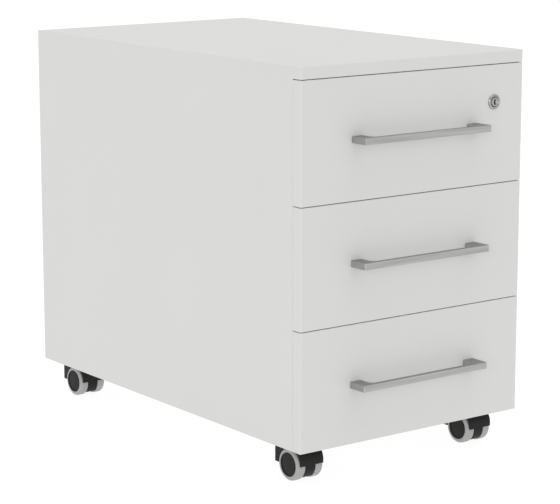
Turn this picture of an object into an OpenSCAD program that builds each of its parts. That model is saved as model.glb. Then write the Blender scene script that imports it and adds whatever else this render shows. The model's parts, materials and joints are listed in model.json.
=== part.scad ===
// Mobile pedestal cabinet of folded sheet steel: three equal drawers on full-extension runners,
// a lock that holds all of them, and four twin-wheel castors.
// The origin is on the floor, under the middle of the whole object, handles included.
// +X is to the right when facing the drawers, -Y is the front and +Z is up. Millimetres.

/* [Cabinet] */
// Overall width
cabinet_w = 430; // [426:1:440]
// Depth of the body, from the drawer faces to the back edge
cabinet_d = 735; // [725:5:760]
// Height of the top above the floor
cabinet_h = 630; // [624:1:642]
// Height of the body's underside above the floor
underside_z = 58; // [58:1:60]
// Height of the top's folded front edge
top_edge_h = 19; // [16:1:24]
// Thickness of the shell's sheet
sheet_t = 1; // [0.8:0.1:1.2]
// Outside radius of the shell's folds
fold_r = 2; // [1.5:0.5:3]

/* [Drawers] */
// Gap between two drawer fronts
front_gap = 1; // [1:0.5:3]
// Gap between the top drawer front and the top's edge
top_gap = 1; // [1:0.5:4]
// Thickness of a drawer front
front_t = 19; // [18:1:20]
// Gap between the back of a drawer front and the carcass
seat_gap = 0.5; // [0.5:0.1:1.5]
// Thickness of the tray's sheet
tray_t = 0.8; // [0.7:0.1:1]
// Height of a tray's walls
tray_wall_h = 85; // [60:1:85]
// Height of a tray's floor above the bottom edge of its front
tray_rise = 24; // [24:1:26]

/* [Runners] */
// Length of each runner member
runner_l = 650; // [620:5:660]
// Height of the cabinet member of a runner
runner_h = 44; // [44:1:45]
// Space for a runner between the tray and the uprights
runner_space = 12.7; // [12.7:0.1:13]
// Sheet thickness of the runner members
runner_t = 1.2; // [1:0.1:1.2]

/* [Handles] */
// Overall length of a handle
handle_l = 244; // [200:2:280]
// How far a handle stands out from its drawer front
handle_reach = 33; // [26:1:34]
// Height of a handle's bar
handle_h = 10; // [9:0.5:14]
// Thickness of a handle's bar, front to back
handle_bar_t = 8; // [6:0.5:10]
// Width of each handle post
handle_post_w = 20; // [14:1:24]
// Radius between a post and the bar
handle_fillet_r = 9; // [4:0.5:12]

/* [Lock] */
// Distance of the lock's centre from the right edge
lock_inset = 59; // [52:1:60]
// Distance of the lock's centre below the top of the cabinet
lock_drop = 77; // [76:1:78]
// Radius of the lock's outer ring
lock_ring_r = 11.5; // [11:0.5:13]
// Radius of the turning core
lock_core_r = 7; // [6.5:0.1:7.5]
// Radius at which the cam's pin turns
cam_pin_at = 8; // [8:0.1:8.2]

/* [Castors] */
// Wheel radius
wheel_r = 25; // [24:0.5:25]
// Width over both wheels
castor_w = 50; // [46:1:52]
// Space between the two wheels
wheel_space = 19; // [18:0.5:20]
// Distance of the wheel axle from the swivel axis
castor_trail = 15; // [13:0.5:16]
// Distance of the castors' swivel axes from the cabinet's middle, sideways
castor_x = 169; // [160:1:170]
// Distance of the front swivel axes from the drawer faces
front_castor_inset = 74; // [70:1:80]
// Distance of the rear swivel axes from the back edge
rear_castor_inset = 43; // [42:1:50]

/* [Hidden] */
CORNERS = ["front_left", "front_right", "rear_left", "rear_right"];
LEVELS = ["bottom", "middle", "top"];
SIDES = ["left", "right"];
$fn = 64;

// a little more than a cut needs, so that it passes right through
through = 1;
// radial clearance of a screw in its hole
screw_clear = 0.05;
// radial running clearance of a pin or core in its bore
running = 0.05;

// cabinet
half_w = cabinet_w / 2;
inner_x = half_w - sheet_t;
face_y = -(cabinet_d + handle_reach) / 2 + handle_reach;
rear_y = (cabinet_d + handle_reach) / 2;
front_back_y = face_y + front_t;
carcass_y = front_back_y + seat_gap;
flange_w = 12;
flange_x = half_w - flange_w - sheet_t;
edge_z = cabinet_h - top_edge_h;
top_upturn = 13;

// drawers, counted from the bottom
front_h = (edge_z - underside_z - top_gap - 2 * front_gap) / 3;
pitch = front_h + front_gap;
function level_z(level) = underside_z + level * pitch;
handle_z = front_h / 2;
liner_y = front_back_y;
liner_flange = 12;

// back panel, set in from the shell's rear edge so that its screw heads stay inside
back_inset = 4;
back_y = rear_y - back_inset;
back_margin = 2;

// base
channel_w = 50;
channel_h = 17;
channel_t = 1.5;
plate_t = 2.5;
channel_z = underside_z + plate_t;
base_z = channel_z + channel_h;
base_flange = 10;

// runners
tray_x = flange_x - runner_space;
runner_z = 54;
runner_y = liner_y + 11.5;
runner_end_y = runner_y + runner_l;
mid_h = 33;
drawer_member_h = 22.4;
mid_web_in = 3;
mid_flange_w = 6.3;
cabinet_flange_w = 8.5;
drawer_flange_w = 7.2;

// uprights
upright_w = 30;
upright_front_y = runner_y + 4;
upright_rear_y = runner_end_y - upright_w + 2;
upright_top_z = edge_z - 2;

// screws, all with a pan head
m4_r = 2;
m4_head_r = 4;
m4_head_h = 2.6;
m4_l = 16;
m6_r = 3;
m6_head_r = 5;
m6_head_h = 2.4;
m6_l = 12;

// trays
tray_back_y = liner_y + 663;
tray_flange = 14;
tray_rim_w = 2;
tray_rim_h = 8;
tray_screw_x = tray_x - 7.5;
tray_screw_z = [tray_rise + 18, tray_rise + tray_wall_h - 12];

// screw holes in a drawer front
handle_screw_x = handle_l / 2 - handle_post_w / 2;
handle_screw_access_r = 6;

// lock: the pin on the cam swings from 45 degrees below level to 45 above, and lifts the bar
lock_x = half_w - lock_inset;
lock_z = cabinet_h - lock_drop;
lock_ring_t = 2.5;
lock_barrel_r = lock_core_r + 2;
lock_barrel_end_y = liner_y + 1.9;
lock_core_proud = 0.6;
key_slot = [1.6, 6, 8];
cam_y = lock_barrel_end_y + 0.4;
cam_t = 2;
cam_r = 11.5;
cam_pin_r = 2.5;
cam_angle = -45;
cam_pin_x = lock_x + cam_pin_at * cos(cam_angle);
cam_pin_z = lock_z + cam_pin_at * sin(cam_angle);
bar_y = cam_y + cam_t + 1.2;
bar_t = 3;
bar_in = 1;
bar_x = [flange_x + bar_in, flange_x + bar_in + 10];
bar_low_z = underside_z + 62;
arm_h = 12;
arm_x = lock_x - 1;
slot_clear = 0.4;
tab_reach = 10;
tab_z = [72.5, 80.5];
hook_x = [194, 195.5];
hook_z = [82, 98];
hook_notch_h = 12;
hook_tip = 2.5;
hook_play = 1.5;
bracket_gap = 0.05;
guide_h = 16;
guide_clear = 0.4;
guide_z = [level_z(0) + 110, level_z(1) + 110, level_z(2) + 22];

// castors
axle_z = wheel_r;
axle_r = 3;
kingpin_r = 4;
kingpin_low_z = underside_z - 24;
castor_plate_w = 42;
castor_screw_at = 15;
hood_half_w = 21.5;
hood_r = 27.8;
hood_t = 1.6;
hood_web_w = wheel_space - 1;
hood_web_r = 24.5;
hood_rear = 36;
hood_front_r = 20;
hood_rear_r = 8;
hood_front_edge_z = 27;
hood_rear_edge_z = 22.5;
hood_web_low_z = 6;
hood_collar_r = 8.8;
hood_collar_z = underside_z - 0.8;
hub_r = 18.5;
hub_lip = 0.8;
shoulder_r = 4.5;
inner_shoulder_r = 2;

function corner_x(corner) = (corner % 2 == 0 ? -1 : 1) * castor_x;
function corner_y(corner) = corner < 2 ? face_y + front_castor_inset : rear_y - rear_castor_inset;
function wheel_y(corner) = corner_y(corner) - castor_trail;

// ---- shapes that several pieces share ----

// a box between two corners
module slab(low, high) {
    translate(low) cube(high - low);
}

// extrudes an outline drawn in X and Z from one Y to another
module along_y(from, to) {
    translate([0, to, 0]) rotate([90, 0, 0]) linear_extrude(to - from) children();
}

// extrudes an outline drawn in Y and Z from one X to another
module along_x(from, to) {
    translate([from, 0, 0]) rotate([90, 0, 90]) linear_extrude(to - from) children();
}

// a cylinder along Y
module rod_y(r, from, to) {
    translate([0, to, 0]) rotate([90, 0, 0]) cylinder(r = r, h = to - from);
}

// a cylinder along X
module rod_x(r, from, to) {
    translate([from, 0, 0]) rotate([0, 90, 0]) cylinder(r = r, h = to - from);
}

// an outline whose two far corners, at the high end of its second axis, are round
module arch(half, low, high, r) {
    translate([-half, low]) square([2 * half, high - low - r]);
    translate([r - half, low]) square([2 * (half - r), high - low]);
    for (side = [-1, 1]) translate([side * (half - r), high - r]) circle(r);
}

// a rectangle with four round corners, centred
module rounded_plate(size, r) {
    square([size.x - 2 * r, size.y], center = true);
    square([size.x, size.y - 2 * r], center = true);
    for (x = [-1, 1], y = [-1, 1])
        translate([x * (size.x / 2 - r), y * (size.y / 2 - r)]) circle(r);
}

// children on the right, and mirrored on the left
module both_sides() {
    children();
    mirror([1, 0, 0]) children();
}

// a pan-head screw along Y: its head's seat is at y = 0 and its shank points to the front
module m4_screw() {
    rod_y(m4_r, -m4_l, 0);
    difference() {
        rod_y(m4_head_r, 0, m4_head_h);
        for (turn = [0, 90]) rotate([0, turn, 0])
            slab([-2, m4_head_h - 1.4, -0.4], [2, m4_head_h + through, 0.4]);
    }
}

// a pan-head screw along Z: its head's seat is at z = 0 and its shank points up
module m6_screw() {
    cylinder(r = m6_r, h = m6_l);
    difference() {
        translate([0, 0, -m6_head_h]) cylinder(r = m6_head_r, h = m6_head_h);
        translate([0, 0, -m6_head_h - through]) cylinder(r = 2.3, h = 1.5 + through, $fn = 6);
    }
}

// ---- carcass ----

// the outside of the folded nose at the front of the top, shrunk by an inset
module top_nose(inset) {
    r = fold_r - inset;
    intersection() {
        along_y(face_y + inset, carcass_y)
            arch(half_w - inset, edge_z + inset, cabinet_h - inset, r);
        translate([0, 0, edge_z - through]) linear_extrude(top_edge_h + 2 * through)
            mirror([0, 1]) arch(half_w - inset, -carcass_y, -face_y - inset, r);
    }
}

module shell() {
    color("gainsboro") {
        along_y(carcass_y, rear_y) difference() {
            arch(half_w, underside_z, cabinet_h, fold_r);
            translate([0, -through])
                arch(inner_x, underside_z, cabinet_h - sheet_t + through, fold_r - sheet_t);
        }
        difference() {
            top_nose(0);
            top_nose(sheet_t);
            slab([-inner_x, carcass_y - sheet_t, edge_z + sheet_t],
                 [inner_x, carcass_y + through, cabinet_h - sheet_t]);
        }
        // the nose's lower sheet turns up again behind the drawer front
        slab([-inner_x, carcass_y - sheet_t, edge_z + sheet_t / 2],
             [inner_x, carcass_y, edge_z + top_upturn]);
        // the sides turn in at the front, at the bottom and at the back
        both_sides() {
            slab([flange_x, carcass_y, underside_z],
                 [half_w - sheet_t / 2, carcass_y + sheet_t, cabinet_h - sheet_t / 2]);
            slab([flange_x, carcass_y, underside_z],
                 [half_w - sheet_t / 2, rear_y, underside_z + sheet_t]);
            difference() {
                slab([flange_x, back_y - 2 * sheet_t, underside_z],
                     [half_w - sheet_t / 2, back_y - sheet_t, cabinet_h - sheet_t / 2]);
                back_screw_places() rod_y(m4_r + screw_clear, -3 * sheet_t, through);
            }
        }
    }
}

// the places of the back panel's screws, on the right only
module back_screw_places() {
    rows = 4;
    low = underside_z + 30;
    step = (cabinet_h - 30 - low) / (rows - 1);
    for (row = [0:rows - 1])
        translate([flange_x + flange_w / 2, back_y, low + row * step]) children();
}

module back_panel() {
    color("gainsboro") difference() {
        slab([back_margin - inner_x, back_y - sheet_t, underside_z + sheet_t + back_margin],
             [inner_x - back_margin, back_y, cabinet_h - sheet_t - back_margin]);
        both_sides() back_screw_places() rod_y(m4_r + screw_clear, -sheet_t - through, through);
    }
}

module back_screws() {
    color("silver") both_sides() back_screw_places() m4_screw();
}

module base_panel() {
    color("gainsboro") {
        slab([-inner_x, carcass_y + 6, base_z], [inner_x, back_y - 4 * sheet_t, base_z + sheet_t]);
        both_sides() slab([inner_x - sheet_t, carcass_y + 6, base_z - base_flange],
                          [inner_x, back_y - 4 * sheet_t, base_z + sheet_t]);
    }
}

module castor_channels() {
    color("silver") for (row = [0, 2]) difference() {
        slab([3 - inner_x, corner_y(row) - channel_w / 2, channel_z],
             [inner_x - 3, corner_y(row) + channel_w / 2, base_z]);
        slab([-inner_x, corner_y(row) - channel_w / 2 + channel_t, channel_z + channel_t],
             [inner_x, corner_y(row) + channel_w / 2 - channel_t, base_z + through]);
        for (corner = [row, row + 1]) castor_screw_places(corner)
            cylinder(r = m6_r + screw_clear, h = 3 * plate_t);
    }
}

// an upright is a channel with its web towards the runners
module uprights() {
    color("silver") both_sides() for (low_y = [upright_front_y, upright_rear_y]) difference() {
        slab([flange_x, low_y, base_z + sheet_t], [inner_x, low_y + upright_w, upright_top_z]);
        slab([flange_x + runner_t, low_y + runner_t, base_z],
             [inner_x + through, low_y + upright_w - runner_t, upright_top_z + through]);
    }
}

// small pads on the carcass that the drawer fronts close against
module buffers() {
    pad_r = 4;
    pad_t = 0.8 * seat_gap;
    color("dimgray") both_sides() for (level = [0:2]) for (z = [16, front_h - 16])
        translate([flange_x + flange_w / 2, 0, level_z(level) + z])
            rod_y(pad_r, carcass_y - pad_t, carcass_y);
}

// ---- runners ----

// a runner member is a channel: web_x is the outer face of its web, and reach is signed
module runner_member(web_x, reach, height) {
    web = sign(reach) * runner_t;
    x_low = min(web_x, web_x + web);
    flange_low = min(web_x, web_x + reach);
    along_y(runner_y, runner_end_y) {
        translate([x_low, -height / 2]) square([runner_t, height]);
        for (z = [-height / 2, height / 2 - runner_t])
            translate([flange_low, z]) square([abs(reach), runner_t]);
    }
}

module cabinet_runners() {
    color("silver") both_sides() for (level = [0:2]) translate([0, 0, level_z(level) + runner_z])
        runner_member(flange_x, -cabinet_flange_w, runner_h);
}

module mid_runners(level) {
    color("silver") both_sides() translate([0, 0, level_z(level) + runner_z])
        runner_member(flange_x - mid_web_in, -mid_flange_w, mid_h);
}

module drawer_runners(level) {
    color("silver") both_sides() translate([0, 0, level_z(level) + runner_z])
        runner_member(tray_x, drawer_flange_w, drawer_member_h);
}

// ---- drawers ----

// a drawer front's plan: its two front corners are round
module front_plan(inset, back) {
    mirror([0, 1]) arch(half_w - inset, -back, -face_y - inset, fold_r - inset);
}

// children at the two handle screws of a drawer, on its face
module handle_screw_places(level) {
    both_sides() translate([handle_screw_x, face_y, level_z(level) + handle_z]) children();
}

// children at the four screws that join a tray to its front, on the tray's flange
module tray_screw_places(level) {
    both_sides() for (z = tray_screw_z)
        translate([tray_screw_x, liner_y + tray_t, level_z(level) + z]) children();
}

// the hole that the lock's barrel passes, in the top drawer's front
module lock_hole() {
    translate([lock_x, 0, lock_z]) rod_y(lock_barrel_r + screw_clear, face_y - through, liner_y + through);
}

// a drawer front is a pan, open at the back
module drawer_front(level) {
    color("gainsboro") difference() {
        translate([0, 0, level_z(level)]) linear_extrude(front_h) front_plan(0, front_back_y);
        translate([0, 0, level_z(level) + sheet_t]) linear_extrude(front_h - 2 * sheet_t)
            front_plan(sheet_t, front_back_y + through);
        handle_screw_places(level) rod_y(m4_r + screw_clear, -through, sheet_t + through);
        if (level == 2) lock_hole();
    }
}

// the liner closes the pan, and a hook bracket on it reaches back over the lock bar's tab
module front_liner(level) {
    low = level_z(level) + sheet_t;
    high = level_z(level) + front_h - sheet_t;
    color("gainsboro") {
        difference() {
            slab([-inner_x, liner_y - liner_flange, low], [inner_x, liner_y, high]);
            slab([sheet_t - inner_x, liner_y - liner_flange - through, low + sheet_t],
                 [inner_x - sheet_t, liner_y - sheet_t, high - sheet_t]);
            handle_screw_places(level) rod_y(handle_screw_access_r, front_t - 2 * sheet_t, front_t + through);
            tray_screw_places(level) rod_y(m4_r + screw_clear, -2 * sheet_t - through, through);
            if (level == 2) lock_hole();
        }
        translate([0, 0, level_z(level)]) along_x(hook_x[0], hook_x[1]) difference() {
            notch_y = bar_y - hook_play;
            notch_w = bar_t + 2 * hook_play;
            translate([liner_y + bracket_gap, hook_z[0]])
                square([notch_y + notch_w + hook_tip - liner_y - bracket_gap, hook_z[1] - hook_z[0]]);
            translate([notch_y, hook_z[0] - through]) square([notch_w, hook_notch_h + through]);
        }
    }
}

// the handle is one bow: a flat bar with a post at each end
module handle(level) {
    bar_back = face_y - handle_reach + handle_bar_t;
    post_in = handle_l / 2 - handle_post_w;
    color("darkgray") difference() {
        translate([0, 0, level_z(level) + handle_z - handle_h / 2]) linear_extrude(handle_h) {
            translate([-handle_l / 2, face_y - handle_reach]) square([handle_l, handle_bar_t]);
            for (side = [-1, 1]) {
                translate([side * (handle_l - handle_post_w) / 2, face_y - handle_reach / 2])
                    square([handle_post_w, handle_reach], center = true);
                translate([side * post_in, bar_back]) mirror([side > 0 ? 1 : 0, 0]) difference() {
                    square(handle_fillet_r);
                    translate([handle_fillet_r, handle_fillet_r]) circle(handle_fillet_r);
                }
            }
        }
        handle_screw_places(level) rod_y(m4_r + screw_clear, -m4_l, through);
    }
}

// two screws hold the handle and four hold the tray: all are the same
module drawer_screws(level) {
    color("silver") {
        handle_screw_places(level) translate([0, sheet_t, 0]) m4_screw();
        tray_screw_places(level) m4_screw();
    }
}

module tray(level) {
    low = level_z(level) + tray_rise;
    high = low + tray_wall_h;
    color("gainsboro") {
        difference() {
            slab([-tray_x, liner_y, low], [tray_x, tray_back_y, high]);
            slab([tray_t - tray_x, liner_y - through, low + tray_t],
                 [tray_x - tray_t, tray_back_y - tray_t, high + through]);
        }
        // the top edges are folded inwards
        difference() {
            slab([-tray_x, liner_y + tray_t, high - tray_rim_h], [tray_x, tray_back_y, high]);
            slab([tray_rim_w - tray_x, liner_y, high - tray_rim_h - through],
                 [tray_x - tray_rim_w, tray_back_y - tray_rim_w, high + through]);
        }
        difference() {
            both_sides() slab([tray_x - tray_flange, liner_y, low], [tray_x - tray_t / 2, liner_y + tray_t, high]);
            tray_screw_places(level) rod_y(m4_r + screw_clear, -tray_t - through, through);
        }
    }
}

// ---- lock ----

module lock_housing() {
    color("lightgray") translate([lock_x, 0, lock_z]) difference() {
        union() {
            rod_y(lock_ring_r, face_y - lock_ring_t, face_y);
            rod_y(lock_barrel_r, face_y - lock_ring_t, lock_barrel_end_y);
        }
        rod_y(lock_core_r + running, face_y - lock_ring_t - through, lock_barrel_end_y + through);
    }
}

module lock_core() {
    core_y = face_y - lock_ring_t - lock_core_proud;
    color("silver") translate([lock_x, 0, lock_z]) difference() {
        rod_y(lock_core_r, core_y, cam_y);
        slab([-key_slot.x / 2, core_y - through, -key_slot.z / 2],
             [key_slot.x / 2, core_y + key_slot.y, key_slot.z / 2]);
    }
}

module lock_cam() {
    color("silver") {
        translate([lock_x, 0, lock_z]) rod_y(cam_r, cam_y, cam_y + cam_t);
        translate([cam_pin_x, 0, cam_pin_z]) rod_y(cam_pin_r, cam_y + cam_t / 2, bar_y + bar_t + 1);
    }
}

// the lock bar: an arm that the cam lifts, and a tab under each drawer's hook
module lock_bar() {
    slot_x = [cam_pin_x - cam_pin_r - slot_clear, lock_x + cam_pin_at + cam_pin_r + slot_clear];
    slot_h = 2 * (cam_pin_r + slot_clear);
    arm_z = cam_pin_z - arm_h / 2;
    color("silver") along_y(bar_y, bar_y + bar_t) {
        translate([bar_x[0], bar_low_z]) square([bar_x[1] - bar_x[0], arm_z + arm_h - bar_low_z]);
        for (level = [0:2]) translate([bar_x[0] - tab_reach, level_z(level) + tab_z[0]])
            square([tab_reach + 1, tab_z[1] - tab_z[0]]);
        difference() {
            translate([arm_x, arm_z]) square([bar_x[0] - arm_x + 1, arm_h]);
            translate([slot_x[0], cam_pin_z - slot_h / 2]) square([slot_x[1] - slot_x[0], slot_h]);
        }
    }
}

// blocks behind the shell's front flange that the lock bar slides through
module lock_bar_guides() {
    color("dimgray") for (z = guide_z) difference() {
        slab([flange_x, carcass_y + sheet_t, z], [inner_x, upright_front_y, z + guide_h]);
        slab([bar_x[0] - guide_clear, bar_y - guide_clear, z - through],
             [bar_x[1] + guide_clear, bar_y + bar_t + guide_clear, z + guide_h + through]);
    }
}

// ---- castors ----

module castor_screw_places(corner) {
    for (x = [-1, 1], y = [-1, 1])
        translate([corner_x(corner) + x * castor_screw_at,
                   corner_y(corner) + y * castor_screw_at, underside_z]) children();
}

// each top plate holds its kingpin
module castor_plates() {
    color("silver") for (corner = [0:3]) {
        difference() {
            translate([corner_x(corner), corner_y(corner), underside_z]) linear_extrude(plate_t)
                rounded_plate([castor_plate_w, castor_plate_w], 4);
            castor_screw_places(corner) translate([0, 0, -through])
                cylinder(r = m6_r + screw_clear, h = plate_t + 2 * through);
            translate([corner_x(corner), corner_y(corner), underside_z - through])
                cylinder(r = kingpin_r + screw_clear, h = plate_t + 2 * through);
        }
        translate([corner_x(corner), corner_y(corner), kingpin_low_z])
            cylinder(r = kingpin_r, h = underside_z + plate_t - kingpin_low_z);
    }
}

module castor_screws() {
    color("silver") for (corner = [0:3]) castor_screw_places(corner) m6_screw();
}

// the hood's side outline, with the wheel's centre at y = 0: its front and rear faces are upright
module hood_outline() {
    top_z = axle_z + hood_r;
    difference() {
        union() {
            translate([-hood_r, 0]) square([hood_r + hood_rear - hood_rear_r, top_z - hood_front_r]);
            translate([hood_front_r - hood_r, 0])
                square([hood_r - hood_front_r + hood_rear - hood_rear_r, top_z]);
            square([hood_rear, top_z - hood_rear_r]);
            translate([hood_front_r - hood_r, top_z - hood_front_r]) circle(hood_front_r);
            translate([hood_rear - hood_rear_r, top_z - hood_rear_r]) circle(hood_rear_r);
        }
        translate([-2 * hood_r, -hood_r]) square([4 * hood_r, hood_r + hood_rear_edge_z]);
        translate([-2 * hood_r, 0]) square([2 * hood_r, hood_front_edge_z]);
    }
}

module castor_hood(corner) {
    web = hood_web_w / 2;
    color("#303030") translate([corner_x(corner), wheel_y(corner), 0]) difference() {
        union() {
            along_x(-hood_half_w, hood_half_w) hood_outline();
            along_x(-web, web) intersection() {
                translate([0, axle_z]) circle(hood_web_r);
                translate([-hood_r, hood_web_low_z]) square([2 * hood_r, 2 * hood_r]);
            }
            translate([0, castor_trail, axle_z])
                cylinder(r = hood_collar_r, h = hood_collar_z - axle_z);
        }
        for (side = [-1, 1]) translate([side * (web + hood_half_w), 0, axle_z])
            rod_x(hood_r - hood_t, -hood_half_w, hood_half_w);
        translate([0, castor_trail, kingpin_low_z - 1]) cylinder(r = kingpin_r + running, h = underside_z);
        translate([0, 0, axle_z]) rod_x(axle_r, -castor_w, castor_w);
    }
}

module castor_axle(corner) {
    color("silver") translate([corner_x(corner), wheel_y(corner), axle_z])
        rod_x(axle_r, -castor_w / 2 + 4, castor_w / 2 - 4);
}

// children drawn for the right wheel, with the axle along Z and the castor's middle at z = 0
module wheel_place(corner, side) {
    translate([corner_x(corner), wheel_y(corner), axle_z]) rotate([0, side * 90, 0]) children();
}

module castor_hub(corner, side) {
    color("#303030") wheel_place(corner, side) difference() {
        translate([0, 0, wheel_space / 2]) cylinder(r = hub_r, h = (castor_w - wheel_space) / 2);
        cylinder(r = axle_r + running, h = castor_w / 2 - 3.5);
        // a shallow dish in the outer face
        translate([0, 0, castor_w / 2 - hub_lip]) cylinder(r = hub_r - 2, h = hub_lip + through);
    }
}

// the tread is a ring round the hub, with a broad round shoulder outside and a small one inside
module castor_tread(corner, side) {
    in_z = wheel_space / 2;
    out_z = castor_w / 2 - hub_lip;
    color("darkgray") wheel_place(corner, side) rotate_extrude() {
        translate([hub_r, in_z + inner_shoulder_r])
            square([wheel_r - hub_r, out_z - shoulder_r - in_z - inner_shoulder_r]);
        translate([hub_r, in_z]) square([wheel_r - inner_shoulder_r - hub_r, inner_shoulder_r]);
        translate([wheel_r - inner_shoulder_r, in_z + inner_shoulder_r]) circle(inner_shoulder_r);
        intersection() {
            translate([wheel_r - shoulder_r, out_z - shoulder_r]) circle(shoulder_r);
            translate([hub_r, in_z]) square(wheel_r);
        }
        translate([hub_r, out_z - shoulder_r]) square([wheel_r - shoulder_r - hub_r, shoulder_r]);
    }
}

// ---- nodes ----

shell();
back_panel();
back_screws();
base_panel();
castor_channels();
uprights();
cabinet_runners();
buffers();
lock_bar_guides();
castor_plates();
castor_screws();
for (i = [0:2]) {
    drawer_front(i);
    front_liner(i);
    handle(i);
    drawer_screws(i);
    tray(i);
    drawer_runners(i);
    mid_runners(i);
}
lock_housing();
lock_core();
lock_cam();
lock_bar();
for (i = [0:3]) {
    castor_hood(i);
    castor_axle(i);
    for (s = [0, 1]) {
        castor_hub(i, 2 * s - 1);
        castor_tread(i, 2 * s - 1);
    }
}
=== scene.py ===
import json
import math

import bmesh
import bpy
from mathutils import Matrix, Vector


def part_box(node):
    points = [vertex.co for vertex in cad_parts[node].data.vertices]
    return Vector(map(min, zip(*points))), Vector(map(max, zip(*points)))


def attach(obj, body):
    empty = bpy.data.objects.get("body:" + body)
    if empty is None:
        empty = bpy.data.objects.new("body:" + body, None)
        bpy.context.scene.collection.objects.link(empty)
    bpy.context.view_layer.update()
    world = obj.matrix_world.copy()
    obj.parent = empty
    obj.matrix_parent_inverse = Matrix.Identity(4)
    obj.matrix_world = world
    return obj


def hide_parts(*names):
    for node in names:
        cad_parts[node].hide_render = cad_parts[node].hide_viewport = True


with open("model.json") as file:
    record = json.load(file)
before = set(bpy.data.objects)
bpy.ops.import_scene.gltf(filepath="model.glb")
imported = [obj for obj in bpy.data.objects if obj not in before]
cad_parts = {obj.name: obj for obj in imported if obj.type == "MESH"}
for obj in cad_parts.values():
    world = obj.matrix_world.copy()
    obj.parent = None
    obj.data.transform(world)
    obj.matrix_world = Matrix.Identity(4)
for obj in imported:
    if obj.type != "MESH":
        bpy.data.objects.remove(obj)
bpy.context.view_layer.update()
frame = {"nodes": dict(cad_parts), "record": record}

MM = 0.001
LEVELS = ("bottom", "middle", "top")
CORNERS = ("front_left", "front_right", "rear_left", "rear_right")
SIDES = ("left", "right")

# sheet metal
SHEET_T = 1.0 * MM
FOLD_R = 2.0 * MM
FOLD_SEGMENTS = 5
FOLD_MIN_ANGLE = math.radians(10)
JOIN_DIST = SHEET_T / 100
EDGE_ROUND = 0.2 * MM
SHEET_EDGE_ANGLE = 50
FLANGE_W = 13.0 * MM
TOP_EDGE_H = 19.0 * MM
TOP_UPTURN = 13.0 * MM
# the sides' front flange stops this far below the top's folded lip
RELIEF = 3.0 * MM
# the flange at the back stops this far short of the back panel
PANEL_CLEAR = 0.05 * MM
# each fold's radius, as a share of FOLD_R, by the axis that the fold runs along
FOLD_SHARE = (0.6, 0.5, 1.0)
FLANGE_SHARE = 0.2


# ---- mesh helpers ----

def add_piece(name, bm):
    """Makes an object from a bmesh, smooth shaded, at the origin."""
    mesh = bpy.data.meshes.new(name)
    bm.to_mesh(mesh)
    bm.free()
    mesh.shade_smooth()
    piece = bpy.data.objects.new(name, mesh)
    bpy.context.scene.collection.objects.link(piece)
    return piece


def flat(bm, axis, at, first, second, outward):
    """Adds a flat rectangle across an axis. first and second are its ranges on the next two axes, in turn."""
    corners = []
    for a, b in ((0, 0), (1, 0), (1, 1), (0, 1)):
        co = [0.0, 0.0, 0.0]
        co[axis] = at
        co[(axis + 1) % 3] = first[a]
        co[(axis + 2) % 3] = second[b]
        corners.append(bm.verts.new(co))
    if outward < 0:
        corners.reverse()
    bm.faces.new(corners)


def mark_folds(bm, share_of):
    """Joins the rectangles of a sheet and gives each fold its radius, as a share of FOLD_R."""
    bmesh.ops.remove_doubles(bm, verts=bm.verts, dist=JOIN_DIST)
    weight = bm.edges.layers.float.new("bevel_weight_edge")
    for edge in bm.edges:
        if len(edge.link_faces) == 2 and edge.calc_face_angle() > FOLD_MIN_ANGLE:
            edge[weight] = share_of(edge)


def along(edge):
    """The axis that an edge runs along."""
    span = edge.verts[1].co - edge.verts[0].co
    return max(range(3), key=lambda k: abs(span[k]))


def soften(piece, width, segments=2, angle=40):
    """Rounds the edges of a piece that are sharper than angle, in degrees, and evens out its shading."""
    bevel = piece.modifiers.new("round_edges", "BEVEL")
    bevel.width = width
    bevel.segments = segments
    bevel.limit_method = "ANGLE"
    bevel.angle_limit = math.radians(angle)
    shading = piece.modifiers.new("shading", "WEIGHTED_NORMAL")
    shading.keep_sharp = True


def fold_sheet(piece):
    """Turns the flat rectangles of a piece into folded sheet metal."""
    folds = piece.modifiers.new("folds", "BEVEL")
    folds.width = FOLD_R
    folds.segments = FOLD_SEGMENTS
    folds.limit_method = "WEIGHT"
    sheet = piece.modifiers.new("sheet", "SOLIDIFY")
    sheet.thickness = SHEET_T
    sheet.offset = -1
    sheet.use_even_offset = True
    soften(piece, EDGE_ROUND, angle=SHEET_EDGE_ANGLE)


def arc(centre, radius, start, end, steps):
    """Points on an arc, from one angle to another, in degrees."""
    turns = [math.radians(start + (end - start) * i / steps) for i in range(steps + 1)]
    return [(centre[0] + radius * math.cos(t), centre[1] + radius * math.sin(t)) for t in turns]


def prism(name, outline, place, direction):
    """A closed solid: an outline of pairs, put in space by place, and pushed out along direction."""
    bm = bmesh.new()
    near = bm.faces.new([bm.verts.new(place(*p)) for p in outline])
    far = bmesh.ops.extrude_face_region(bm, geom=[near])
    far_verts = [v for v in far["geom"] if isinstance(v, bmesh.types.BMVert)]
    bmesh.ops.translate(bm, vec=direction, verts=far_verts)
    bmesh.ops.recalc_face_normals(bm, faces=bm.faces)
    return add_piece(name, bm)


LATHE_STEPS = 64


def lathe(name, profile, place):
    """A closed solid of revolution. profile holds pairs of radius and height. It runs from the axis to the
    axis, or ends where it starts. place(a, b, height) puts a point in space."""
    bm = bmesh.new()
    rings = []
    for radius, height in profile:
        if radius == 0:
            rings.append([bm.verts.new(place(0, 0, height))])
            continue
        turns = [2 * math.pi * i / LATHE_STEPS for i in range(LATHE_STEPS)]
        rings.append([bm.verts.new(place(radius * math.cos(t), radius * math.sin(t), height)) for t in turns])
    for low, high in zip(rings, rings[1:]):
        for i in range(LATHE_STEPS):
            j = (i + 1) % LATHE_STEPS
            corners = [low[i % len(low)], low[j % len(low)], high[j % len(high)], high[i % len(high)]]
            bm.faces.new(list(dict.fromkeys(corners)))
    bmesh.ops.recalc_face_normals(bm, faces=bm.faces)
    return add_piece(name, bm)


# ---- materials ----

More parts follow.
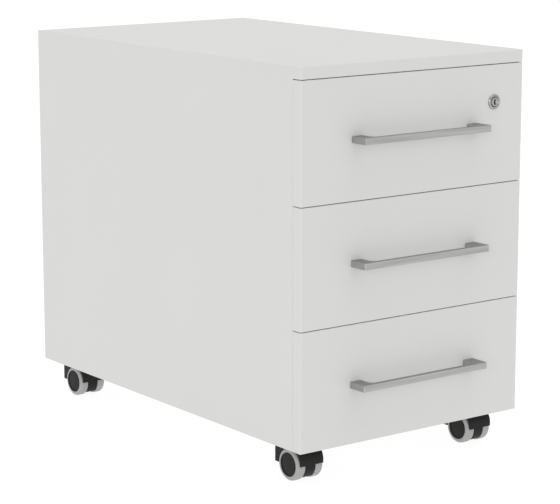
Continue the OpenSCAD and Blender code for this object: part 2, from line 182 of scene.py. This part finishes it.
# nearly all of a noise's values lie between these two
NOISE_LOW = 0.3
NOISE_HIGH = 0.7
BUMP_STRENGTH = 0.3


def add_node(tree, kind, **inputs):
    """Adds a shader node and sets its named inputs."""
    made = tree.nodes.new(kind)
    for name, value in inputs.items():
        made.inputs[name].default_value = value
    return made


def noise(tree, scale, detail=3.0, stretch=(1, 1, 1)):
    """A noise's output in the piece's own space. scale is in features per metre."""
    place = add_node(tree, "ShaderNodeTexCoord")
    mapping = add_node(tree, "ShaderNodeMapping")
    mapping.inputs["Scale"].default_value = stretch
    tree.links.new(place.outputs["Object"], mapping.inputs["Vector"])
    texture = add_node(tree, "ShaderNodeTexNoise", Scale=scale, Detail=detail)
    tree.links.new(mapping.outputs["Vector"], texture.inputs["Vector"])
    return texture.outputs["Fac"]


def spread(tree, value, low, high):
    """Maps a noise onto a range."""
    made = add_node(tree, "ShaderNodeMapRange")
    for name, number in zip(("From Min", "From Max", "To Min", "To Max"), (NOISE_LOW, NOISE_HIGH, low, high)):
        made.inputs[name].default_value = number
    tree.links.new(value, made.inputs["Value"])
    return made.outputs["Result"]


def tint(tree, value, dark, light):
    """A colour that runs from dark to light with a noise."""
    ramp = add_node(tree, "ShaderNodeValToRGB")
    first, last = ramp.color_ramp.elements
    first.position, last.position = NOISE_LOW, NOISE_HIGH
    first.color, last.color = (*dark, 1), (*light, 1)
    tree.links.new(value, ramp.inputs["Fac"])
    return ramp.outputs["Color"]


def surface(name, colour, vary, roughness, metallic=0.0, cloud=12, grain=900, stretch=(1, 1, 1),
            depth=0.02 * MM, shine=0.5, edge=1.0):
    """A finish with a cloudy colour, an uneven roughness and a fine grain in relief.
    vary is how far the colour strays either way, as a share, and cloud and grain are in features per metre.
    shine is the specular level, and edge is how much of a metal's reflection is left at a grazing angle."""
    made = bpy.data.materials.new(name)
    made.use_nodes = True
    tree = made.node_tree
    shader = tree.nodes["Principled BSDF"]
    shader.inputs["Metallic"].default_value = metallic
    shader.inputs["Specular IOR Level"].default_value = shine
    shader.inputs["Specular Tint"].default_value = (edge, edge, edge, 1)
    clouds = noise(tree, cloud, stretch=stretch)
    dark, light = ([c * (1 + sign * vary) for c in colour] for sign in (-1, 1))
    tree.links.new(tint(tree, clouds, dark, light), shader.inputs["Base Color"])
    grains = noise(tree, grain, detail=2.0, stretch=stretch)
    tree.links.new(spread(tree, grains, *roughness), shader.inputs["Roughness"])
    bump = add_node(tree, "ShaderNodeBump", Strength=BUMP_STRENGTH, Distance=depth)
    tree.links.new(grains, bump.inputs["Height"])
    tree.links.new(bump.outputs["Normal"], shader.inputs["Normal"])
    return made


MATERIALS = {
    "painted_steel": surface("powder_coat", (0.593, 0.593, 0.581), 0.008, (0.42, 0.5), cloud=5, grain=800),
    "satin_metal": surface("satin_metal", (0.44, 0.44, 0.43), 0.1, (0.4, 0.52), 1.0, cloud=220, grain=500,
                           stretch=(0.04, 1.5, 1.5), edge=0.5),
    "zinc": surface("zinc_plate", (0.56, 0.57, 0.59), 0.08, (0.28, 0.42), 1.0, cloud=90, grain=700),
    "nickel": surface("polished_nickel", (0.40, 0.39, 0.375), 0.05, (0.12, 0.2), 1.0, cloud=200, grain=1500,
                      edge=0.5),
    "black_plastic": surface("black_nylon", (0.011, 0.011, 0.0115), 0.15, (0.42, 0.54), cloud=60, grain=1600,
                             depth=0.05 * MM, shine=0.18),
    "grey_tread": surface("grey_tread", (0.34, 0.34, 0.335), 0.1, (0.55, 0.7), cloud=300, grain=1200,
                          depth=0.05 * MM),
    "buffer_rubber": surface("buffer_rubber", (0.13, 0.13, 0.13), 0.1, (0.6, 0.8), cloud=150, grain=1500,
                             depth=0.05 * MM),
}


def dress(piece, slot):
    """Gives a piece the material of one of the record's slots."""
    piece.data.materials.clear()
    piece.data.materials.append(MATERIALS[slot])


def place_on(piece, body, slot, *nodes):
    """Puts a new piece on its body, in place of its CAD nodes."""
    dress(piece, slot)
    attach(piece, body)
    if nodes:
        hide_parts(*nodes)


# ---- carcass ----

def make_shell():
    """The top, its folded front lip and both sides, with their flanges at the front and the bottom."""
    low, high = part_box("shell")
    front_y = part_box("buffers")[1].y
    lip_z = high.z - TOP_EDGE_H
    flange_z = lip_z - RELIEF
    bm = bmesh.new()
    for start, end in ((low.y, front_y), (front_y, high.y)):
        flat(bm, 2, high.z, (low.x, high.x), (start, end), 1)
        for side_x, outward in ((low.x, -1), (high.x, 1)):
            flat(bm, 0, side_x, (start, end), (lip_z, high.z), outward)
    flat(bm, 1, low.y, (lip_z, high.z), (low.x, high.x), -1)
    flat(bm, 2, lip_z, (low.x, high.x), (low.y, front_y), -1)
    for side_x, outward in ((low.x, -1), (high.x, 1)):
        flange = sorted((side_x, side_x - outward * FLANGE_W))
        flat(bm, 0, side_x, (front_y, high.y), (flange_z, lip_z), outward)
        flat(bm, 0, side_x, (front_y, high.y), (low.z, flange_z), outward)
        flat(bm, 1, front_y, (low.z, flange_z), flange, -1)
        flat(bm, 2, low.z, flange, (front_y, high.y), -1)
    front_flange = front_y + SHEET_T / 2
    mark_folds(bm, lambda edge: FLANGE_SHARE
               if along(edge) != 1 and all(v.co.z < lip_z and v.co.y < front_flange for v in edge.verts)
               else FOLD_SHARE[along(edge)])
    shell = add_piece("cabinet_shell", bm)
    fold_sheet(shell)
    place_on(shell, "carcass", "painted_steel", "shell")


def make_shell_returns():
    """The strips folded up behind the top's lip and in at the back: each is a flat sheet of its own."""
    low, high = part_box("shell")
    front_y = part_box("buffers")[1].y
    panel_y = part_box("back_panel")[0].y - PANEL_CLEAR
    lip_z = high.z - TOP_EDGE_H
    bm = bmesh.new()
    inner_x = high.x - SHEET_T
    flat(bm, 1, front_y, (lip_z + SHEET_T, lip_z + TOP_UPTURN), (-inner_x, inner_x), 1)
    for side in (-1, 1):
        flange = sorted((side * inner_x, side * (high.x - FLANGE_W)))
        flat(bm, 1, panel_y, (low.z + SHEET_T, high.z - SHEET_T), flange, 1)
    returns = add_piece("shell_returns", bm)
    fold_sheet(returns)
    place_on(returns, "carcass", "painted_steel")


# ---- drawers ----

def make_drawer_front(level):
    """A pan of folded sheet, open at the back."""
    low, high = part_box(f"{level}_drawer_front")
    bm = bmesh.new()
    flat(bm, 1, low.y, (low.z, high.z), (low.x, high.x), -1)
    for z, outward in ((low.z, -1), (high.z, 1)):
        flat(bm, 2, z, (low.x, high.x), (low.y, high.y), outward)
    for x, outward in ((low.x, -1), (high.x, 1)):
        flat(bm, 0, x, (low.y, high.y), (low.z, high.z), outward)
    mark_folds(bm, lambda edge: FOLD_SHARE[along(edge)])
    front = add_piece(f"{level}_front_pan", bm)
    fold_sheet(front)
    place_on(front, f"{level}_drawer", "painted_steel", f"{level}_drawer_front")


HANDLE_BAR_T = 8.0 * MM
HANDLE_POST_W = 20.0 * MM
HANDLE_FILLET = 9.0 * MM
HANDLE_FILLET_STEPS = 12
HANDLE_CORNER = 1.2 * MM
HANDLE_CORNER_STEPS = 6
HANDLE_EDGE = 0.5 * MM


def make_handle(level):
    """A bow of flat bar: its plan runs round the outside, and back inside the posts and the bar."""
    low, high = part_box(f"{level}_drawer_handle")
    bar_back = low.y + HANDLE_BAR_T
    post_in = high.x - HANDLE_POST_W
    corner_y = low.y + HANDLE_CORNER
    fillet_x = post_in - HANDLE_FILLET
    fillet_y = bar_back + HANDLE_FILLET
    outline = [(low.x, high.y)]
    outline += arc((low.x + HANDLE_CORNER, corner_y), HANDLE_CORNER, 180, 270, HANDLE_CORNER_STEPS)
    outline += arc((high.x - HANDLE_CORNER, corner_y), HANDLE_CORNER, 270, 360, HANDLE_CORNER_STEPS)
    outline += [(high.x, high.y), (post_in, high.y)]
    outline += arc((fillet_x, fillet_y), HANDLE_FILLET, 0, -90, HANDLE_FILLET_STEPS)
    outline += arc((-fillet_x, fillet_y), HANDLE_FILLET, -90, -180, HANDLE_FILLET_STEPS)
    outline += [(-post_in, high.y)]
    handle = prism(f"{level}_handle_bow", outline, lambda x, y: (x, y, low.z), (0, 0, high.z - low.z))
    soften(handle, HANDLE_EDGE, segments=3)
    place_on(handle, f"{level}_drawer", "satin_metal", f"{level}_drawer_handle")


BALL_R = 2.0 * MM
BALL_PITCH = 22.0 * MM
CAGE_L = 300.0 * MM
CAGE_W = 3.2 * MM
CAGE_T = 0.6 * MM
CAGE_EDGE = 0.1 * MM
# rows of balls: height from the runner's middle, distance in from the member's outer face, and start in Y
OUTER_ROWS = (18.65 * MM, 3.0 * MM, 322.0 * MM)
INNER_ROWS = (13.25 * MM, 4.2 * MM, 12.0 * MM)


def make_ball_cages(level):
    """The runners' balls and the strips that hold them, on both sides of the drawer."""
    low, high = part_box(f"{level}_mid_runners")
    middle_z = (low.z + high.z) / 2
    half_w = CAGE_W / 2
    balls, cages = bmesh.new(), bmesh.new()
    for side in (-1, 1):
        for row_z, inset, start in (OUTER_ROWS, INNER_ROWS):
            x = side * (high.x - inset)
            first_y = low.y + start
            cage_y = (first_y, first_y + CAGE_L)
            for up in (-1, 1):
                z = middle_z + up * row_z
                for i in range(int(CAGE_L / BALL_PITCH)):
                    y = first_y + (i + 0.5) * BALL_PITCH
                    made = bmesh.ops.create_icosphere(balls, subdivisions=2, radius=BALL_R)
                    bmesh.ops.translate(balls, vec=(x, y, z), verts=made["verts"])
                flat(cages, 2, z + CAGE_T / 2, (x - half_w, x + half_w), cage_y, 1)
    ball_piece = add_piece(f"{level}_runner_balls", balls)
    place_on(ball_piece, f"{level}_mid", "zinc")
    cage_piece = add_piece(f"{level}_ball_cages", cages)
    sheet = cage_piece.modifiers.new("sheet", "SOLIDIFY")
    sheet.thickness = CAGE_T
    sheet.offset = -1
    soften(cage_piece, CAGE_EDGE)
    place_on(cage_piece, f"{level}_mid", "zinc")


# ---- lock ----

LOCK_EDGE = 0.12 * MM
LOCK_EDGE_ANGLE = 30
BORE_CLEAR = 0.05 * MM
BARREL_T = 2.0 * MM
# the ring's face from its bore outwards: out from the core's radius and back from the face, in mm
RING_INSIDE = ((0.05, 1.3), (0.55, 1.2), (1.1, 0.4), (1.5, 0))
# and on to its rim: in from the ring's radius and back from the face, in mm
RING_OUTSIDE = ((2.2, 0), (1.0, 0.4), (0.3, 1.0), (0, 1.7))
# the core's face from its middle outwards: in from its radius and back from the face, in mm
CORE_FACE = ((2.4, 0.35), (2.0, 0), (0.9, 0), (0.3, 0.25), (0, 0.9))
CORE_DISH = 0.35 * MM
KEY_SLOT_H = 8.4 * MM
KEY_SLOT_W = 3.2 * MM
KEY_SLOT_DEPTH = 5.0 * MM
KEY_SLOT_BEND = 0.9 * MM
KEY_SLOT_ROWS = 12
CUTTER_LEAD = 1.0 * MM
# painted shade: a black piece is set this far into the key slot, so that the slot shows dark
SLOT_SHADE_DEPTH = 0.3 * MM
SLOT_SHADE_CLEAR = 0.03 * MM


def lock_place():
    """The lock's middle, from its core's box."""
    low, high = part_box("lock_core")
    return (low.x + high.x) / 2, (low.z + high.z) / 2


def make_lock_housing():
    """The ring in front of the drawer, and the barrel behind it that the core turns in."""
    low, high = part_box("lock_housing")
    x, z = lock_place()
    face_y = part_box("top_drawer_front")[0].y
    ring_r = (high.x - low.x) / 2
    core_low, core_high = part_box("lock_core")
    core_r = (core_high.x - core_low.x) / 2
    bore_r = core_r + BORE_CLEAR
    barrel_r = core_r + BARREL_T
    profile = [(bore_r, high.y)]
    profile += [(core_r + out * MM, low.y + back * MM) for out, back in RING_INSIDE]
    profile += [(ring_r - inset * MM, low.y + back * MM) for inset, back in RING_OUTSIDE]
    profile += [(ring_r, face_y), (barrel_r, face_y), (barrel_r, high.y), (bore_r, high.y)]
    housing = lathe("lock_ring", profile, lambda a, b, y: (x + a, y, z + b))
    soften(housing, LOCK_EDGE, angle=LOCK_EDGE_ANGLE)
    place_on(housing, "top_drawer", "nickel", "lock_housing")


def key_slot_outline(inset):
    """The key slot's bent outline, shrunk by an inset."""
    x, z = lock_place()
    half_w = KEY_SLOT_W / 2 - inset
    half_h = KEY_SLOT_H / 2 - inset
    shares = [2 * i / KEY_SLOT_ROWS - 1 for i in range(KEY_SLOT_ROWS + 1)]
    middle = [(x + KEY_SLOT_BEND * (2 * share * share - 1), z + share * half_h) for share in shares]
    return [(a + half_w, b) for a, b in middle] + [(a - half_w, b) for a, b in reversed(middle)]


def make_lock_core():
    """The turning core, with a bent key slot cut into its face, and a black piece inside the slot that paints
    the slot's shade.
    """
    low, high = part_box("lock_core")
    x, z = lock_place()
    core_r = (high.x - low.x) / 2
    profile = [(0, low.y + CORE_DISH)]
    profile += [(core_r - inset * MM, low.y + back * MM) for inset, back in CORE_FACE]
    profile += [(core_r, high.y), (0, high.y)]
    core = lathe("lock_plug", profile, lambda a, b, y: (x + a, y, z + b))
    start_y = low.y - CUTTER_LEAD
    cutter = prism("key_cutter", key_slot_outline(0), lambda a, b: (a, start_y, b),
                   (0, CUTTER_LEAD + KEY_SLOT_DEPTH, 0))
    cut = core.modifiers.new("key_slot", "BOOLEAN")
    cut.object = cutter
    cut.operation = "DIFFERENCE"
    cut.solver = "EXACT"
    with bpy.context.temp_override(object=core, active_object=core, selected_objects=[core]):
        bpy.ops.object.modifier_apply(modifier=cut.name)
    bpy.data.objects.remove(cutter)
    soften(core, LOCK_EDGE, angle=LOCK_EDGE_ANGLE)
    place_on(core, "lock_core", "nickel", "lock_core")
    # painted shade: a black plastic piece fills the key slot just behind its face, so that the slot shows
    # dark
    slot_shade_y = low.y + SLOT_SHADE_DEPTH
    slot_shade = prism("lock_slot_painted_shade", key_slot_outline(SLOT_SHADE_CLEAR), lambda a, b: (a, slot_shade_y, b),
                    (0, KEY_SLOT_DEPTH - SLOT_SHADE_DEPTH - SLOT_SHADE_CLEAR, 0))
    place_on(slot_shade, "lock_core", "black_plastic")


# ---- castors ----

WHEEL_CHAMFER = 0.3 * MM
AXLE_HOLE_R = 3.05 * MM
HUB_FACE_T = 4.0 * MM
HUB_RIM = 2.0 * MM
HUB_DISH = 1.1 * MM
# the crown inside the hub's rim: share of the dish's radius, and height above the dish in mm
HUB_CROWN = ((0, 0.5), (0.3, 0.45), (0.6, 0.3), (0.9, 0), (1, 0))
# the hub's rim: in from its radius and back from its face, in mm
HUB_RIM_FACE = ((1.75, 0.3), (1.4, 0), (0.7, 0), (0.2, 0.3), (0, 1.0))
HUB_EDGE = 0.15 * MM
HUB_EDGE_ANGLE = 35
TREAD_SHOULDER = 4.5 * MM
TREAD_SHOULDER_STEPS = 10
TREAD_INNER = 2.0 * MM
TREAD_INNER_STEPS = 6
TREAD_LIP_W = 0.5 * MM
TREAD_LIP_H = 0.4 * MM
TREAD_EDGE = 0.1 * MM
TREAD_EDGE_ANGLE = 50


def make_wheel(corner, side):
    """A hub disc and the soft tread round it. Heights run from the castor's middle outwards."""
    hub, tread = (f"{corner}_castor_{side}_{part}" for part in ("hub", "tread"))
    low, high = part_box(hub)
    tread_low, tread_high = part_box(tread)
    centre = (low + high) / 2
    hub_r = (high.z - low.z) / 2
    wheel_r = (tread_high.z - tread_low.z) / 2
    outward = 1 if side == "right" else -1
    inner, outer = (low.x, high.x) if outward > 0 else (high.x, low.x)
    hub_w = abs(outer - inner)
    tread_w = tread_high.x - tread_low.x

    def place(a, b, height):
        return (inner + outward * height, centre.y + a, centre.z + b)

    dish = hub_w - HUB_DISH
    rim = hub_r - HUB_RIM
    hole_end = hub_w - HUB_FACE_T
    profile = [(rim * share, dish + rise * MM) for share, rise in HUB_CROWN]
    profile += [(hub_r - inset * MM, hub_w - back * MM) for inset, back in HUB_RIM_FACE]
    profile += [(hub_r, WHEEL_CHAMFER), (hub_r - WHEEL_CHAMFER, 0)]
    profile += [(AXLE_HOLE_R, 0), (AXLE_HOLE_R, hole_end), (0, hole_end)]
    disc = lathe(f"{corner}_{side}_hub_disc", profile, place)
    soften(disc, HUB_EDGE, angle=HUB_EDGE_ANGLE)
    body = f"{corner}_{side}_wheel"
    place_on(disc, body, "black_plastic", hub)

    inner_round = arc((TREAD_INNER, wheel_r - TREAD_INNER), TREAD_INNER, 180, 90, TREAD_INNER_STEPS)
    shoulder = arc((tread_w - TREAD_SHOULDER, wheel_r - TREAD_SHOULDER), TREAD_SHOULDER, 90, 0,
                   TREAD_SHOULDER_STEPS)
    profile = [(hub_r, WHEEL_CHAMFER), (hub_r + WHEEL_CHAMFER, 0)]
    profile += [(radius, height) for height, radius in inner_round + shoulder]
    profile += [(hub_r + TREAD_LIP_W, tread_w), (hub_r, tread_w - TREAD_LIP_H), (hub_r, WHEEL_CHAMFER)]
    ring = lathe(f"{corner}_{side}_soft_tread", profile, place)
    soften(ring, TREAD_EDGE, angle=TREAD_EDGE_ANGLE)
    place_on(ring, body, "grey_tread", tread)


# ---- CAD nodes that stay ----

CARRIED_EDGE = 0.25 * MM
HOOD_EDGE = 0.6 * MM
WELD_DIST = 0.005 * MM


def finish_cad_nodes():
    """Every CAD node that still shows gets its slot's material and rounded edges."""
    slots = {row["node"]: row["material_slot"] for row in frame["record"]["subparts"]}
    for name, node in frame["nodes"].items():
        if node.hide_render:
            continue
        dress(node, slots[name])
        weld = node.modifiers.new("weld", "WELD")
        weld.merge_threshold = WELD_DIST
        soften(node, HOOD_EDGE if "hood" in name else CARRIED_EDGE)


# ---- stage, light and camera ----

FLOOR_REACH = 30.0
FLOOR_GREY = (0.1, 0.1, 0.1, 1)
FLOOR_ROUGHNESS = 0.9
FLOOR_SHINE = 0.1
FLOOR_GLOW = 0.93
WHITE = (1, 1, 1, 1)


def make_stage():
    """A wide floor that glows, so that it shows as plain white and takes almost no shadow."""
    bm = bmesh.new()
    flat(bm, 2, 0, (-FLOOR_REACH, FLOOR_REACH), (-FLOOR_REACH, FLOOR_REACH), 1)
    floor = add_piece("floor", bm)
    made = bpy.data.materials.new("floor")
    made.use_nodes = True
    shader = made.node_tree.nodes["Principled BSDF"]
    shader.inputs["Base Color"].default_value = FLOOR_GREY
    shader.inputs["Roughness"].default_value = FLOOR_ROUGHNESS
    shader.inputs["Specular IOR Level"].default_value = FLOOR_SHINE
    shader.inputs["Emission Color"].default_value = WHITE
    shader.inputs["Emission Strength"].default_value = FLOOR_GLOW
    floor.data.materials.append(made)


WORLD_LIGHT = 0.83


def add_sun(name, energy, direction, angle):
    """A distant soft light. direction points back towards it, and angle is its width in degrees."""
    lamp = bpy.data.objects.new(name, bpy.data.lights.new(name, "SUN"))
    lamp.data.energy = energy
    lamp.data.angle = math.radians(angle)
    lamp.rotation_mode = "QUATERNION"
    lamp.rotation_quaternion = Vector(direction).to_track_quat("Z", "Y")
    bpy.context.scene.collection.objects.link(lamp)


def make_light():
    """An even white surround, a wide sun from the front left and a very wide one from above."""
    world = bpy.data.worlds.new("studio")
    bpy.context.scene.world = world
    world.use_nodes = True
    background = world.node_tree.nodes["Background"]
    background.inputs["Color"].default_value = WHITE
    background.inputs["Strength"].default_value = WORLD_LIGHT
    add_sun("key", energy=0.72, direction=(-0.74, -0.64, 0.2), angle=25)
    add_sun("overhead", energy=0.98, direction=(0, 0, 1), angle=60)


CAMERA_AZIMUTH = math.radians(-36.78)
CAMERA_ELEVATION = math.radians(11.13)
CAMERA_DISTANCE = 3.409
# where it aims, from the middle of the shell
CAMERA_AIM = Vector((0, -0.030, -0.060))
CAMERA_LENS = 133.8
CAMERA_CLIP_END = 200


def make_camera():
    """The photo's view: azimuth is turned from the front, and elevation is up from the floor."""
    low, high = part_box("shell")
    aim = (low + high) / 2 + CAMERA_AIM
    back = Vector((math.sin(CAMERA_AZIMUTH) * math.cos(CAMERA_ELEVATION),
                   -math.cos(CAMERA_AZIMUTH) * math.cos(CAMERA_ELEVATION),
                   math.sin(CAMERA_ELEVATION)))
    camera = bpy.data.objects.new("camera", bpy.data.cameras.new("camera"))
    camera.data.lens = CAMERA_LENS
    camera.data.clip_end = CAMERA_CLIP_END
    camera.location = aim + back * CAMERA_DISTANCE
    camera.rotation_mode = "QUATERNION"
    camera.rotation_quaternion = back.to_track_quat("Z", "Y")
    bpy.context.scene.collection.objects.link(camera)
    bpy.context.scene.camera = camera
    bpy.context.scene.view_settings.view_transform = "Standard"


make_camera()
make_stage()
make_light()
make_shell()
make_shell_returns()
for level in LEVELS:
    make_drawer_front(level)
    make_handle(level)
    make_ball_cages(level)
make_lock_housing()
make_lock_core()
for corner in CORNERS:
    for side in SIDES:
        make_wheel(corner, side)
finish_cad_nodes()

bpy.context.view_layer.update()
